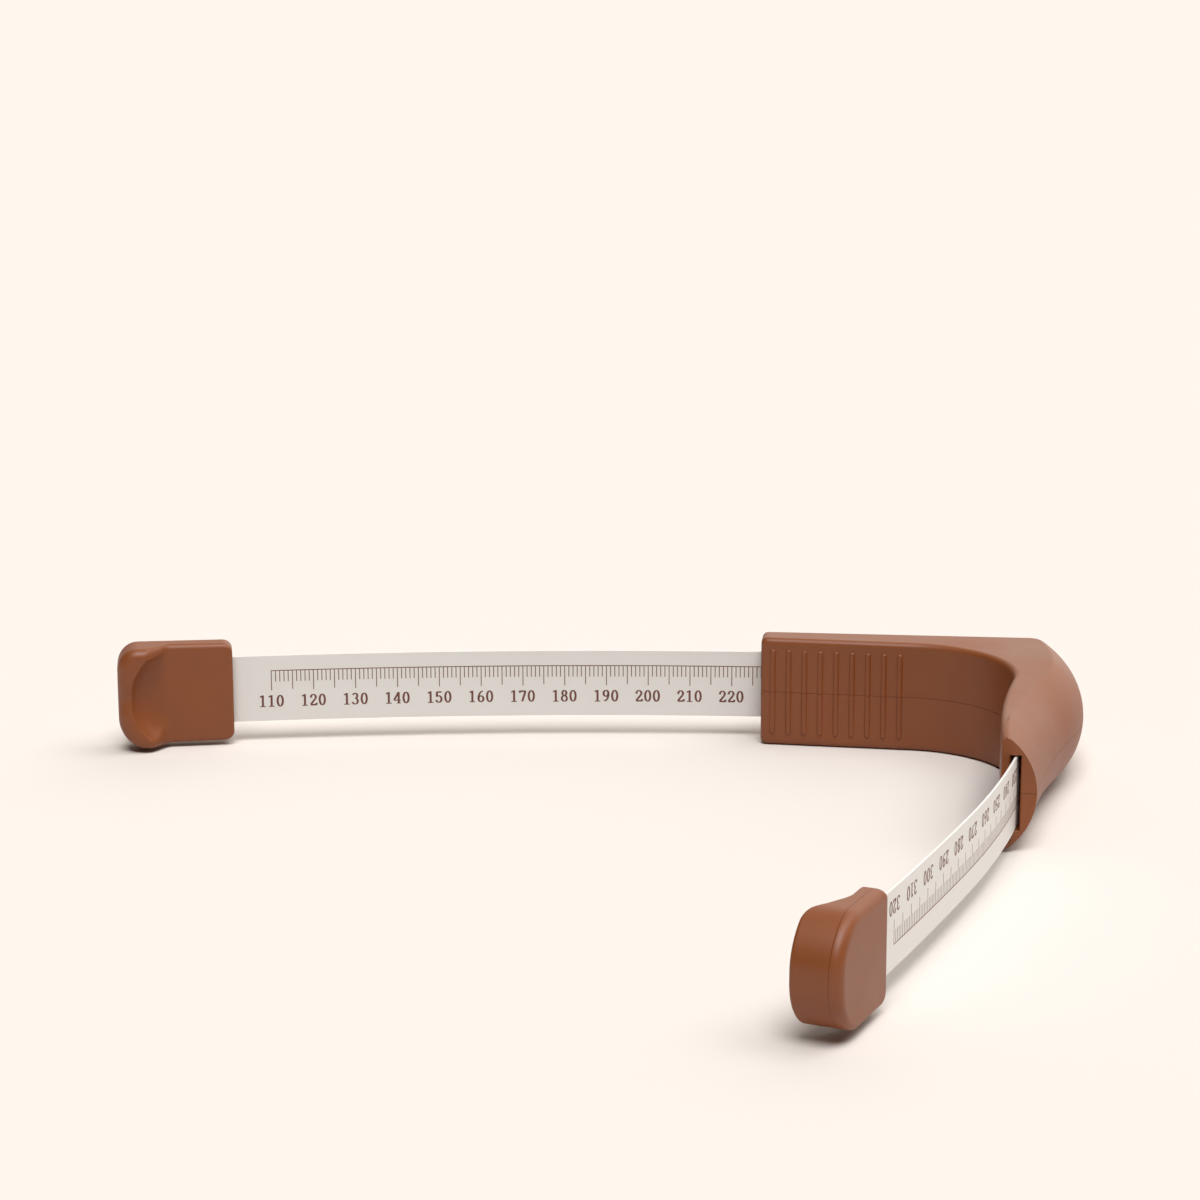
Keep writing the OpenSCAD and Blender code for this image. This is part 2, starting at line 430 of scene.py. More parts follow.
class NodeSheet:
    """A small helper that lays out shader nodes and links them."""

    def __init__(self, tree: bpy.types.NodeTree) -> None:
        """Work on one tree."""
        self.tree = tree
        self.column = 0

    def add(
        self, kind: str, inputs: dict[str | int, object] | None = None, **values: object
    ) -> bpy.types.Node:
        """Add a node and set its properties and its inputs' values.

        Args:
            kind: the node's type name.
            inputs: input name or number to its value.
            **values: properties of the node.

        Returns:
            The node.
        """
        node = self.tree.nodes.new(kind)
        node.location = (self.column * 190, 0)
        self.column += 1
        for key, value in values.items():
            setattr(node, key, value)
        for key, value in (inputs or {}).items():
            node.inputs[key].default_value = value
        return node

    def link(self, source: bpy.types.NodeSocket, target: bpy.types.NodeSocket) -> None:
        """Join two sockets."""
        self.tree.links.new(source, target)


def new_group(
    name: str, inputs: dict[str, tuple[str, object]], outputs: dict[str, str]
) -> NodeSheet:
    """Start a shader node group.

    Args:
        name: the group's name.
        inputs: socket name to its type and default value.
        outputs: socket name to its type.

    Returns:
        The sheet of the group's tree.
    """
    tree = bpy.data.node_groups.new(name, "ShaderNodeTree")
    for label, (kind, value) in inputs.items():
        socket = tree.interface.new_socket(label, in_out="INPUT", socket_type=kind)
        socket.default_value = value
    for label, kind in outputs.items():
        tree.interface.new_socket(label, in_out="OUTPUT", socket_type=kind)
    return NodeSheet(tree)


def moulded_grain_group() -> bpy.types.NodeTree:
    """Fine moulded texture: a height for the bump and a slow change of tone and gloss.

    Returns:
        The group's tree.
    """
    sheet = new_group(
        "moulded_grain",
        {
            "Color": ("NodeSocketColor", (0.3, 0.1, 0.04, 1.0)),
            "Tone": ("NodeSocketFloat", 0.06),
            "Roughness": ("NodeSocketFloat", 0.4),
            "Grain size": ("NodeSocketFloat", 4200.0),
        },
        {"Color": "NodeSocketColor", "Roughness": "NodeSocketFloat", "Height": "NodeSocketFloat"},
    )
    enter = sheet.add("NodeGroupInput")
    where = sheet.add("ShaderNodeTexCoord")
    grain = sheet.add("ShaderNodeTexNoise", {"Detail": 3.0, "Roughness": 0.6})
    flow = sheet.add("ShaderNodeTexNoise", {"Scale": 55.0, "Detail": 4.0})
    spread = sheet.add(
        "ShaderNodeMapRange", {"From Min": 0.3, "From Max": 0.7, "To Min": -1.0, "To Max": 1.0}
    )
    amount = sheet.add("ShaderNodeMath", {2: 1.0}, operation="MULTIPLY_ADD")
    tint = sheet.add("ShaderNodeVectorMath", operation="SCALE")
    dull = sheet.add("ShaderNodeMath", {1: 0.05}, operation="MULTIPLY_ADD")
    leave = sheet.add("NodeGroupOutput")
    sheet.link(where.outputs["Object"], grain.inputs["Vector"])
    sheet.link(where.outputs["Object"], flow.inputs["Vector"])
    sheet.link(enter.outputs["Grain size"], grain.inputs["Scale"])
    sheet.link(flow.outputs["Fac"], spread.inputs["Value"])
    sheet.link(spread.outputs["Result"], amount.inputs[0])
    sheet.link(enter.outputs["Tone"], amount.inputs[1])
    sheet.link(enter.outputs["Color"], tint.inputs[0])
    sheet.link(amount.outputs["Value"], tint.inputs["Scale"])
    sheet.link(spread.outputs["Result"], dull.inputs[0])
    sheet.link(enter.outputs["Roughness"], dull.inputs[2])
    sheet.link(tint.outputs["Vector"], leave.inputs["Color"])
    sheet.link(dull.outputs["Value"], leave.inputs["Roughness"])
    sheet.link(grain.outputs["Fac"], leave.inputs["Height"])
    return sheet.tree


@dataclass(frozen=True)
class PlasticFinish:
    """A satin plastic with a fine moulded grain."""

    name: str
    color: tuple[float, float, float]
    roughness: float
    grain: float
    tone: float
    grain_size: float = 4200.0
    specular: float = 0.5
    bump_depth: float = 0.00003

    def material(self, group: bpy.types.NodeTree) -> bpy.types.Material:
        """Build the material.

        Args:
            group: the moulded grain group.

        Returns:
            The material.
        """
        made = bpy.data.materials.new(self.name)
        made.use_nodes = True
        made.diffuse_color = (*self.color, 1.0)
        made.node_tree.nodes.clear()
        sheet = NodeSheet(made.node_tree)
        looks = {
            "Color": (*self.color, 1.0),
            "Tone": self.tone,
            "Roughness": self.roughness,
            "Grain size": self.grain_size,
        }
        effect = sheet.add("ShaderNodeGroup", node_tree=group)
        for key, value in looks.items():
            effect.inputs[key].default_value = value
        bump = sheet.add("ShaderNodeBump", {"Strength": self.grain, "Distance": self.bump_depth})
        shader = sheet.add("ShaderNodeBsdfPrincipled", {"Specular IOR Level": self.specular})
        out = sheet.add("ShaderNodeOutputMaterial")
        sheet.link(effect.outputs["Color"], shader.inputs["Base Color"])
        sheet.link(effect.outputs["Roughness"], shader.inputs["Roughness"])
        sheet.link(effect.outputs["Height"], bump.inputs["Height"])
        sheet.link(bump.outputs["Normal"], shader.inputs["Normal"])
        sheet.link(shader.outputs["BSDF"], out.inputs["Surface"])
        return made


CARAMEL = PlasticFinish(
    "caramel_satin_plastic", (0.225, 0.0595, 0.013), 0.48, 0.25, 0.05, specular=0.52
)
BONE = PlasticFinish(
    "bone_strip_plastic", (0.755, 0.732, 0.703), 0.42, 0.10, 0.012, 2600.0, specular=0.25
)
INK = PlasticFinish("brown_scale_ink", (0.155, 0.048, 0.034), 0.55, 0.15, 0.08, 9000.0)


@dataclass(frozen=True)
class Palette:
    """The three finishes as materials."""

    caramel: bpy.types.Material
    bone: bpy.types.Material
    ink: bpy.types.Material

    @staticmethod
    def mixed() -> "Palette":
        """Build every finish once, on one shared grain group."""
        group = moulded_grain_group()
        return Palette(CARAMEL.material(group), BONE.material(group), INK.material(group))


# Sub-assemblies


@dataclass(frozen=True)
class StripRoute:
    """The way of the strip from the end in the toe head to the end in the pull head."""

    toe_slot: Place = Place(-61.6, 11.9, math.radians(-6.2))
    toe_arm: float = 126.5
    pull_arm: float = 101.0
    tail: float = 19.0
    toe_bow_r: float = 620.0
    pull_bow_near_r: float = 400.0
    pull_bow_far_r: float = 1400.0
    near_share: float = 0.45
    inside: tuple[Stretch, ...] = (Stretch(33.1, 404.0), Stretch(59.1, 35.0), Stretch(45.3))

    @property
    def rail(self) -> Rail:
        """The whole route."""
        back = Stretch(self.toe_arm, self.toe_bow_r).end(self.toe_slot, -self.toe_arm)
        start = Stretch(self.tail).end(back, -self.tail)
        return Rail(
            start,
            (
                Stretch(self.tail),
                Stretch(self.toe_arm, self.toe_bow_r),
                *self.inside,
                Stretch(self.pull_arm * self.near_share, self.pull_bow_near_r),
                Stretch(self.pull_arm * (1.0 - self.near_share), self.pull_bow_far_r),
                Stretch(self.tail),
            ),
        )

    @property
    def toe_root_at(self) -> float:
        """Distance of the toe head's edge along the rail."""
        return self.tail

    @property
    def toe_slot_at(self) -> float:
        """Distance of the guide's toe slot."""
        return self.tail + self.toe_arm

    @property
    def pull_slot_at(self) -> float:
        """Distance of the guide's pull slot."""
        return self.toe_slot_at + sum(stretch.length for stretch in self.inside)

    @property
    def pull_root_at(self) -> float:
        """Distance of the pull head's edge."""
        return self.pull_slot_at + self.pull_arm

    @property
    def end_at(self) -> float:
        """Distance of the strip's far end."""
        return self.pull_root_at + self.tail


@dataclass
class HeelGuide:
    """The two moulded shells that the strip runs through."""

    route: StripRoute
    height: float = 26.0
    dome_rise: float = 7.2
    sole_heading: float = math.radians(-8.1)
    sole_len: float = 62.6
    heel_corner_r: float = 10.1
    corner_turn: float = math.radians(73.8)
    heel_back_r: float = 70.0
    back_turn: float = math.radians(33.0)
    hollow_r: float = 240.0
    hollow_len: float = 50.0
    inner_first: Place = Place(-62.7, 5.2, math.radians(-11.8))
    inner_straight: float = 35.5
    inner_corner_r: float = 25.0
    inner_turn: float = math.radians(95.2)
    inner_hollow_r: float = 254.0
    inner_hollow_len: float = 47.9
    run_out: float = 6.0
    end_heading: float = math.radians(-95.5)
    brow_r: float = 1.3
    rim_r: float = 1.5
    toe_end_r: float = 1.6
    pull_end_r: float = 0.45
    toe_end_bow: float = 0.45
    channel_half: float = 0.6
    mouth_half: float = 1.15
    mouth_len: float = 3.0
    channel_rise: float = 8.3
    rib_count: int = 9
    rib_first: float = 2.9
    rib_pitch: float = 3.75
    rib_len: float = 20.8
    rib_r: float = 0.75
    rib_sink: float = 0.3
    zone_steps: tuple[int, ...] = (10, 26, 16, 14)

    @property
    def mid(self) -> float:
        """Height of the seam."""
        return self.height / 2.0

    @property
    def dome_r(self) -> float:
        """Radius of the rounded outside's section."""
        return (self.mid**2 + self.dome_rise**2) / (2.0 * self.dome_rise)

    @property
    def outer_rail(self) -> Rail:
        """Plan curve of the rounded outside at the seam."""
        away = self.sole_len + self.run_out
        side = Place(
            -self.heel_corner_r * math.sin(self.sole_heading),
            self.heel_corner_r * math.cos(self.sole_heading),
            self.sole_heading,
        )
        return Rail(
            Stretch(away).end(side, -away),
            (
                Stretch(away),
                Stretch(self.heel_corner_r * self.corner_turn, self.heel_corner_r),
                Stretch(self.heel_back_r * self.back_turn, self.heel_back_r),
                Stretch(self.hollow_len, -self.hollow_r),
            ),
        )

    @property
    def inner_rail(self) -> Rail:
        """Plan curve of the inner face."""
        half = self.inner_corner_r * self.inner_turn / 2.0
        return Rail(
            Stretch(self.run_out).end(self.inner_first, -self.run_out),
            (
                Stretch(self.inner_straight + self.run_out),
                Stretch(half, self.inner_corner_r),
                Stretch(half, self.inner_corner_r),
                Stretch(self.inner_hollow_len + self.run_out, -self.inner_hollow_r),
            ),
        )

    def crest(self, thick: float) -> float:
        """Height of the flat top above the seam, lower where both roundings would not fit.

        Args:
            thick: the distance from the inner face to the dome's outermost line.
        """
        need = max(self.dome_r - thick + self.brow_r + 0.1, 0.0)
        fits = math.sqrt((self.dome_r - self.rim_r) ** 2 - need**2) + self.rim_r
        return min(self.mid, fits)

    def profile(self, thick: float) -> list[tuple[bool, float, float]]:
        """The section's points: on the outer rail or not, offset from that rail, and height.

        Args:
            thick: the distance from the inner face to the dome's outermost line.

        Returns:
            The points in order, up the inner face, over the top, down the dome and back below.
        """
        half = self.crest(thick)
        reach = math.sqrt((self.dome_r - self.rim_r) ** 2 - (half - self.rim_r) ** 2)
        centre = reach - self.dome_r
        inset = min(0.3, (thick + centre - self.brow_r) / 3.0)
        upper: list[tuple[bool, float, float]] = [(False, 0.0, half - self.brow_r - 0.25)]
        for step in range(7):
            angle = math.radians(90.0 * step / 6)
            upper.append(
                (
                    False,
                    self.brow_r * (1.0 - math.cos(angle)),
                    half - self.brow_r * (1.0 - math.sin(angle)),
                )
            )
        upper.append((False, self.brow_r + inset, half))
        touch = math.atan2(half - self.rim_r, reach)
        upper.append((True, centre - inset, half))
        for step in range(5):
            angle = math.pi / 2 + (touch - math.pi / 2) * step / 4
            upper.append(
                (
                    True,
                    centre + self.rim_r * math.cos(angle),
                    half - self.rim_r + self.rim_r * math.sin(angle),
                )
            )
        for step in range(1, 14):
            angle = touch * (1.0 - step / 13.5)
            out = self.dome_r * (math.cos(angle) - 1.0)
            upper.append((True, out, self.dome_r * math.sin(angle)))
        lower = [(outer, offset, -height) for outer, offset, height in reversed(upper)]
        return upper + lower

    def stations(self) -> list[tuple[Place, Place]]:
        """Matched places on the outer and the inner rail, from the toe end to the pull end."""
        outer, inner = self.outer_rail, self.inner_rail
        found: list[tuple[Place, Place]] = []
        for zone, steps in enumerate(self.zone_steps):
            for step in range(steps + (zone == len(self.zone_steps) - 1)):
                share = step / steps
                found.append(
                    (
                        outer.at(outer.corner(zone) + share * outer.stretches[zone].length),
                        inner.at(inner.corner(zone) + share * inner.stretches[zone].length),
                    )
                )
        beyond = [rail.at(rail.corner(len(rail.stretches)) + 4.0) for rail in (outer, inner)]
        return found + [(beyond[0], beyond[1])]

    @property
    def ends(self) -> list[tuple[Vector, Vector, float]]:
        """For each end of the guide: a point on its plane, the way out and the edge's rounding."""
        return [
            (
                Vector((place.x, place.y, self.mid)),
                Vector((math.cos(heading), math.sin(heading), 0.0)),
                radius,
            )
            for place, heading, radius in (
                (self.route.toe_slot, self.sole_heading + math.pi, self.toe_end_r),
                (self.pull_slot, self.end_heading, self.pull_end_r),
            )
        ]

    def rings(self) -> list[list[Vector]]:
        """The sections along the guide, without those that lie too close to an end's cut."""
        kept: list[list[Vector]] = []
        for outer, inner in self.stations():
            thick = (outer.point(0.0, 0.0) - inner.point(0.0, 0.0)).length
            ring = [
                (outer if on_outer else inner).point(offset, self.mid + height)
                for on_outer, offset, height in self.profile(thick)
            ]
            clear = True
            for at, outward, radius in self.ends:
                past = [(point - at).dot(outward) for point in ring]
                clear = clear and (max(past) < -radius - 0.3 or min(past) > 0.3)
            if clear:
                kept.append(ring)
        return kept

    def body(self) -> bmesh.types.BMesh:
        """The guide in one piece, with rounded ends and without its channel."""
        mesh = skin_of(self.rings())
        for at, outward, radius in self.ends:
            caps = slice_off(mesh, at, outward)
            edges = {edge for cap in caps for edge in cap.edges}
            round_edges(mesh, sorted(edges, key=by_place), radius, 4)
            put_in_order(mesh)
        return mesh

    @property
    def pull_slot(self) -> Place:
        """Where the strip leaves the guide towards the pull head."""
        return self.route.rail.at(self.route.pull_slot_at)

    def channel(self) -> bmesh.types.BMesh:
        """The strip's way through the guide, wider at its two mouths."""
        rail = self.route.rail
        first, last = self.route.toe_slot_at, self.route.pull_slot_at
        steps: list[tuple[float, float]] = [
            (first - 8.0, self.mouth_half),
            (first + self.mouth_len, self.mouth_half),
            (first + self.mouth_len + 0.4, self.channel_half),
        ]
        inside_from = first + self.mouth_len + 0.4
        inside_to = last - self.mouth_len - 0.4
        count = 44
        for step in range(1, count):
            share = step / count
            steps.append((inside_from + share * (inside_to - inside_from), self.channel_half))
        steps += [
            (inside_to, self.channel_half),
            (last - self.mouth_len, self.mouth_half),
            (last + 8.0, self.mouth_half),
        ]
        low, high = self.mid - self.channel_rise, self.mid + self.channel_rise
        rings: list[list[Vector]] = []
        for distance, half in steps:
            place = rail.at(min(max(distance, first), last))
            beyond = distance - min(max(distance, first), last)
            place = Stretch(abs(beyond)).end(place, beyond)
            rings.append(
                [
                    place.point(-half, low),
                    place.point(half, low),
                    place.point(half, high),
                    place.point(-half, high),
                ]
            )
        return skin_of(rings)

    def soften_mouths(self, mesh: bmesh.types.BMesh) -> None:
        """Round the edges of the two slots.

        Args:
            mesh: the guide with its channel cut.
        """
        for centre, outward, _ in self.ends:
            rim: list[bmesh.types.BMEdge] = []
            for edge in mesh.edges:
                on_plane = all(abs((v.co - centre).dot(outward)) < 0.02 for v in edge.verts)
                near = all(
                    ((v.co - centre).xy.length < 1.6 and abs(v.co.z - self.mid) < 8.6)
                    for v in edge.verts
                )
                if on_plane and near and len(edge.link_faces) == 2:
                    if edge.calc_face_angle() > math.radians(50.0):
                        rim.append(edge)
            round_edges(mesh, rim, 0.38, 3)
            put_in_order(mesh)

    def bow_toe_end(self, mesh: bmesh.types.BMesh) -> None:
        """Give the toe end face its slight bulge.

        Args:
            mesh: the guide.
        """
        centre, outward, _ = self.ends[0]
        for vert in mesh.verts:
            depth = -(vert.co - centre).dot(outward)
            if depth < 5.0:
                lift = 1.0 - ((vert.co.z - self.mid) / self.mid) ** 2
                vert.co += outward * (self.toe_end_bow * lift * (1.0 - smooth_share(depth / 5.0)))

    def ribs(self) -> bmesh.types.BMesh:
        """The row of upright grip ribs on the inner face."""
        mesh = bmesh.new()
        reach = self.rib_len / 2.0 - self.rib_r
        for index in range(self.rib_count):
            place = Stretch(1.0).end(self.inner_first, self.rib_first + index * self.rib_pitch)
            made = bmesh.ops.create_uvsphere(mesh, u_segments=20, v_segments=12, radius=self.rib_r)
            centre = place.point(self.rib_sink, self.mid)
            for vert in made["verts"]:
                if abs(vert.co.z) > 1e-4:
                    vert.co.z += math.copysign(reach, vert.co.z)
                vert.co += centre
        return mesh

    def half(self, whole: bmesh.types.BMesh, side: int) -> bmesh.types.BMesh:
        """Take one shell from the whole guide.

        Args:
            whole: the guide with its channel and ribs; it is left as it is.
            side: 1 for the upper shell, -1 for the lower one.

        Returns:
            The shell, closed at the seam, with its seam edge broken.
        """
        shell = whole.copy()
        at = Vector((0.0, 0.0, self.mid + side * SEAM_GAP))
        caps = slice_off(shell, at, Vector((0.0, 0.0, -side)))
        rim = [edge for edge in {e for cap in caps for e in cap.edges} if self._outside(edge)]
        round_edges(shell, sorted(rim, key=by_place), SEAM_CHAMFER, 1)
        return shell

    def _outside(self, edge: bmesh.types.BMEdge) -> bool:
        """True for a seam edge that shows from outside, and not one of the channel."""
        middle = (edge.verts[0].co + edge.verts[1].co) / 2.0
        rail = self.route.rail
        first, last = self.route.toe_slot_at, self.route.pull_slot_at
        nearest = min(
            math.hypot(place.x - middle.x, place.y - middle.y)
            for place in (rail.at(first + (last - first) * k / 200) for k in range(201))
        )
        return nearest > 1.9

    def build(self, palette: Palette) -> list[bpy.types.Object]:
        """Make both shells.

        Args:
            palette: the finishes.

        Returns:
            The two shells.
        """
        whole = carve(self.body(), self.channel())
        self.soften_mouths(whole)
        self.bow_toe_end(whole)
        add_mesh(whole, self.ribs())
        pieces: list[bpy.types.Object] = []
        for side, name, node in (
            (1, "upper_shell", "guide_upper_shell"),
            (-1, "lower_shell", "guide_lower_shell"),
        ):
            piece = finish_piece(self.half(whole, side), name, palette.caramel)
            keep_flats_flat(piece)
            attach(piece, Body.GUIDE.value)
            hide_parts(node)
            pieces.append(piece)
        whole.free()
        return pieces


@dataclass(frozen=True)
class EdgeRounding:
    """How far a head's edge is rounded on each of its four sides."""

    root: float
    tip: float
    top: float
    bottom: float

    def at(self, normal: Vector) -> float:
        """The rounding where the outline faces this way, blended round the corners.

        Args:
            normal: the outline's outward normal in the side view.

        Returns:
            The radius, in mm.
        """
        along, up = normal.x * normal.x, normal.y * normal.y
        return along * (self.tip if normal.x > 0.0 else self.root) + up * (
            self.top if normal.y > 0.0 else self.bottom
        )


@dataclass
class Head:
    """A two-part head: a flat plate on the strip, with a scooped finger rest at its free end."""

    length: float = 27.08
    height: float = 24.0
    plate: float = 5.5
    rest_rise: float = 5.0
    rest_foot: float = 14.8
    rest_run: float = 5.0
    scoop_r: float = 12.9
    scoop_rim: float = 3.0
    scoop_curve_r: float = 6.8
    ridge: float = 1.2
    far_corner_r: float = 5.0
    far_low_r: float = 7.0
    near_corner_r: float = 2.3
    end_bow_r: float = 400.0
    flare: float = 0.022
    outer_edges: EdgeRounding = EdgeRounding(0.5, 1.4, 1.2, 1.0)
    inner_edges: EdgeRounding = EdgeRounding(0.6, 1.9, 1.3, 1.0)
    rest_softness: float = 0.7
    mid: float = 13.0

    def outline(self) -> list[tuple[Vector, Vector]]:
        """Side view of the head, as points and outward normals, x along the head and y up.

        Returns:
            The points in order round the outline.
        """
        half = self.height / 2.0
        corners = (
            (self.length - self.far_corner_r, half - self.far_corner_r, self.far_corner_r, 0.0),
            (self.near_corner_r, half - self.near_corner_r, self.near_corner_r, 90.0),
            (self.near_corner_r, self.near_corner_r - half, self.near_corner_r, 180.0),
            (self.length - self.far_low_r, self.far_low_r - half, self.far_low_r, 270.0),
        )
        steps = (18, 8, 8, 18)
        runs = (30, 12, 30, 14)
        points: list[tuple[Vector, Vector]] = []
        for index, (x, y, radius, start) in enumerate(corners):
            for step in range(steps[index] + 1):
                angle = math.radians(start + 90.0 * step / steps[index])
                normal = Vector((math.cos(angle), math.sin(angle)))
                points.append((Vector((x, y)) + normal * radius, normal))
            last, normal = points[-1]
            nx, ny, nr, nstart = corners[(index + 1) % 4]
            turn = math.radians(nstart)
            target = Vector((nx, ny)) + Vector((math.cos(turn), math.sin(turn))) * nr
            for step in range(1, runs[index]):
                points.append((last.lerp(target, step / runs[index]), normal))
        bowed: list[tuple[Vector, Vector]] = []
        for point, normal in points:
            share = smooth_share((point.x - self.length + self.far_corner_r) / self.far_corner_r)
            bow = self.end_bow_r - math.sqrt(self.end_bow_r**2 - point.y**2)
            taller = 1.0 + self.flare * (point.x / self.length - 0.5)
            bowed.append((Vector((point.x - bow * share, point.y * taller)), normal))
        return bowed

    def rest(self, x: float, y: float) -> float:
        """Height of the finger rest above the plate at a point of the side view.

        Args:
            x: distance from the strip end.
            y: distance above mid height.

        Returns:
            The height, 0 on the flat plate.
        """
        slope = self.rest_rise * smooth_share((x - self.rest_foot) / self.rest_run)
        centre = self.length - self.scoop_rim - self.scoop_r
        over = max(math.hypot(x - centre, y) - self.flat_r, 0.0)
        reach = self.scoop_r - self.flat_r
        if over >= reach:
            steep = reach / (self.scoop_curve_r - self.rest_rise)
            bowl = self.rest_rise + (over - reach) * steep
        else:
            bowl = self.scoop_curve_r - math.sqrt(self.scoop_curve_r**2 - over**2)
        return soft_lower(slope, bowl, self.ridge)

    @property
    def flat_r(self) -> float:
        """Radius of the scoop's flat floor."""
        reach = math.sqrt(self.scoop_curve_r**2 - (self.rest_rise - self.scoop_curve_r) ** 2)
        return self.scoop_r - reach

    def outer_half(self) -> bmesh.types.BMesh:
        """The plain half, from the seam to the flat outer face."""
        outline = self.outline()
        half = self.plate / 2.0
        radii = [self.outer_edges.at(normal) for _, normal in outline]

        def ring(insets: Sequence[float], depths: Sequence[float]) -> list[Vector]:
            return [
                Vector((p.x - n.x * inset, -depth, p.y - n.y * inset))
                for (p, n), inset, depth in zip(outline, insets, depths)
            ]

        count = len(outline)
        rings = [
            ring([HEAD_SEAM_CHAMFER] * count, [HEAD_SEAM_GAP] * count),
            ring([0.0] * count, [HEAD_SEAM_GAP + HEAD_SEAM_CHAMFER] * count),
        ]
        steps = 7
        for step in range(steps + 1):
            angle = math.radians(90.0 * step / steps)
            rings.append(
                ring(
                    [r * (1.0 - math.cos(angle)) for r in radii],
                    [
                        max(half - r * (1.0 - math.sin(angle)), HEAD_SEAM_GAP + HEAD_SEAM_HEIGHT)
                        for r in radii
                    ],
                )
            )
        rings.append(ring([r + 0.3 for r in radii], [half] * count))
        return skin_of(rings)

    def inner_half(self) -> bmesh.types.BMesh:
        """The half with the scooped finger rest, from the seam to its crest."""
        outline = self.outline()
        half = self.plate / 2.0
        centre = Vector((self.length - self.scoop_rim - self.scoop_r, 0.0))
        radii = [
            self.inner_edges.at(n)
            * (1.0 + self.rest_softness * self.rest(p.x, p.y) / self.rest_rise)
            for p, n in outline
        ]
        brinks = [p - n * r for (p, n), r in zip(outline, radii)]
        tops = [half + self.rest(q.x, q.y) for q in brinks]
        rings = [
            [
                Vector((q.x, HEAD_SEAM_GAP, q.y))
                for q in (p - n * HEAD_SEAM_CHAMFER for p, n in outline)
            ],
            [Vector((p.x, HEAD_SEAM_GAP + HEAD_SEAM_CHAMFER, p.y)) for p, n in outline],
        ]
        steps = 6
        for step in range(steps + 1):
            angle = math.radians(90.0 * step / steps)
            rings.append(
                [
                    Vector(
                        (
                            p.x - n.x * r * (1.0 - math.cos(angle)),
                            top - r * (1.0 - math.sin(angle)),
                            p.y - n.y * r * (1.0 - math.cos(angle)),
                        )
                    )
                    for (p, n), r, top in zip(outline, radii, tops)
                ]
            )
        spans = [(q - centre).length for q in brinks]
        limits = [min(self.scoop_r + 0.9, span - 0.15) for span in spans]

        def level(radius_of: Callable[[int], float]) -> list[Vector]:
            ring: list[Vector] = []
            for index, brink in enumerate(brinks):
                away = (brink - centre).normalized()
                spot = centre + away * radius_of(index)
                ring.append(Vector((spot.x, half + self.rest(spot.x, spot.y), spot.y)))
            return ring

        for share in (0.33, 0.66):
            rings.append(level(lambda i, s=share: spans[i] + (limits[i] - spans[i]) * s))
        reach = [1.0 - 0.025 * step for step in range(9)]
        reach += [0.8 * (1.0 - step / 14) for step in range(1, 15)]
        for share in reach:
            rings.append(level(lambda i, s=share: self.flat_r + (limits[i] - self.flat_r) * s))
        rings.append(level(lambda i: self.flat_r * 0.6))
        return skin_of(rings)

    def build(
        self, label: str, seat: Matrix, body: Body, palette: Palette
    ) -> list[bpy.types.Object]:
        """Make both halves at their place.

        Args:
            label: the head's name, which starts both pieces' names.
            seat: from the head's own frame, in mm, to the part's frame.
            body: the body that it rides on.
            palette: the finishes.

        Returns:
            The two halves.
        """
        pieces: list[bpy.types.Object] = []
        for part, mesh in (("inner_half", self.inner_half()), ("outer_half", self.outer_half())):
            bmesh.ops.transform(mesh, matrix=seat, verts=mesh.verts)
            name = f"{label}_{part}"
            piece = finish_piece(mesh, f"{name}_dressed", palette.caramel, 50.0)
            keep_flats_flat(piece)
            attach(piece, body.value)
            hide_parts(name)
            pieces.append(piece)
        return pieces


TOE_HEAD = Head()
PULL_HEAD = Head(
    length=24.4,
    height=22.4,
    plate=4.8,
    rest_rise=5.2,
    rest_foot=6.0,
    scoop_r=12.0,
    scoop_rim=2.8,
    far_corner_r=10.0,
    far_low_r=10.0,
    end_bow_r=72.0,
    flare=0.0,
    rest_run=13.0,
    rest_softness=0.0,
    outer_edges=EdgeRounding(0.5, 2.1, 2.0, 1.0),
    inner_edges=EdgeRounding(0.5, 0.8, 0.8, 0.8),
    mid=13.2,
)


